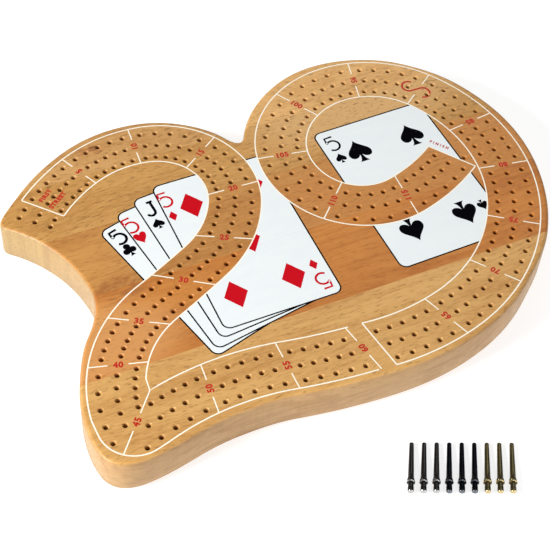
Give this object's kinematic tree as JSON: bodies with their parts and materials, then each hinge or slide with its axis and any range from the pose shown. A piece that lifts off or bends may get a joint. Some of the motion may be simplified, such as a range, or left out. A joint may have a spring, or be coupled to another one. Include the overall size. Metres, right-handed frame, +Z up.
{
  "type": "cribbage board",
  "caption": "Cribbage board cut as the number 29, with three lanes of peg holes, metal pegs and a covered peg pocket underneath.",
  "frame": {"origin": "centre of the bounding box of the board and its row of pegs, on the table they rest on", "axes": "+X to the right along the foot of the digits, +Y towards the top of the digits, +Z up out of the printed face"},
  "size_m": [0.3748, 0.365, 0.032],
  "materials": {
    "wood_light": "satin lacquered hardwood",
    "wood_dark": "satin lacquered hardwood, a darker stave",
    "steel": "brushed",
    "rubber": "matt",
    "peg_silver": "polished dark nickel",
    "peg_black": "glossy blue-black",
    "peg_brass": "polished antique brass"
  },
  "bodies": {
    "board": {"stave_base": "wood_light", "stave_lower": "wood_dark", "stave_middle": "wood_dark", "stave_upper": "wood_light", "stave_crown_two": "wood_light", "stave_crown_nine": "wood_light", "foot_front_left": "rubber", "foot_back_left": "rubber", "foot_front_right": "rubber", "foot_back_right": "rubber", "pivot_screw": "steel"},
    "cover": {"pocket_cover": "steel"},
    "peg_silver_1": {"peg_silver_1": "peg_silver"},
    "peg_silver_2": {"peg_silver_2": "peg_silver"},
    "peg_silver_3": {"peg_silver_3": "peg_silver"},
    "peg_black_1": {"peg_black_1": "peg_black"},
    "peg_black_2": {"peg_black_2": "peg_black"},
    "peg_black_3": {"peg_black_3": "peg_black"},
    "peg_brass_1": {"peg_brass_1": "peg_brass"},
    "peg_brass_2": {"peg_brass_2": "peg_brass"},
    "peg_brass_3": {"peg_brass_3": "peg_brass"}
  },
  "joints": [
    {"name": "cover_swivel", "type": "hinge", "parent": "board", "child": "cover", "pos_m": [-0.06618, 0.00413, 0.0031], "axis": [0, 0, 1], "continuous": true},
    {"name": "peg_silver_1_lift", "type": "slide", "parent": "board", "child": "peg_silver_1", "axis": [0, 0, 1], "range_m": [0, 0.06]},
    {"name": "peg_silver_2_lift", "type": "slide", "parent": "board", "child": "peg_silver_2", "axis": [0, 0, 1], "range_m": [0, 0.06]},
    {"name": "peg_silver_3_lift", "type": "slide", "parent": "board", "child": "peg_silver_3", "axis": [0, 0, 1], "range_m": [0, 0.06]},
    {"name": "peg_black_1_lift", "type": "slide", "parent": "board", "child": "peg_black_1", "axis": [0, 0, 1], "range_m": [0, 0.06]},
    {"name": "peg_black_2_lift", "type": "slide", "parent": "board", "child": "peg_black_2", "axis": [0, 0, 1], "range_m": [0, 0.06]},
    {"name": "peg_black_3_lift", "type": "slide", "parent": "board", "child": "peg_black_3", "axis": [0, 0, 1], "range_m": [0, 0.06]},
    {"name": "peg_brass_1_lift", "type": "slide", "parent": "board", "child": "peg_brass_1", "axis": [0, 0, 1], "range_m": [0, 0.06]},
    {"name": "peg_brass_2_lift", "type": "slide", "parent": "board", "child": "peg_brass_2", "axis": [0, 0, 1], "range_m": [0, 0.06]},
    {"name": "peg_brass_3_lift", "type": "slide", "parent": "board", "child": "peg_brass_3", "axis": [0, 0, 1], "range_m": [0, 0.06]}
  ]
}
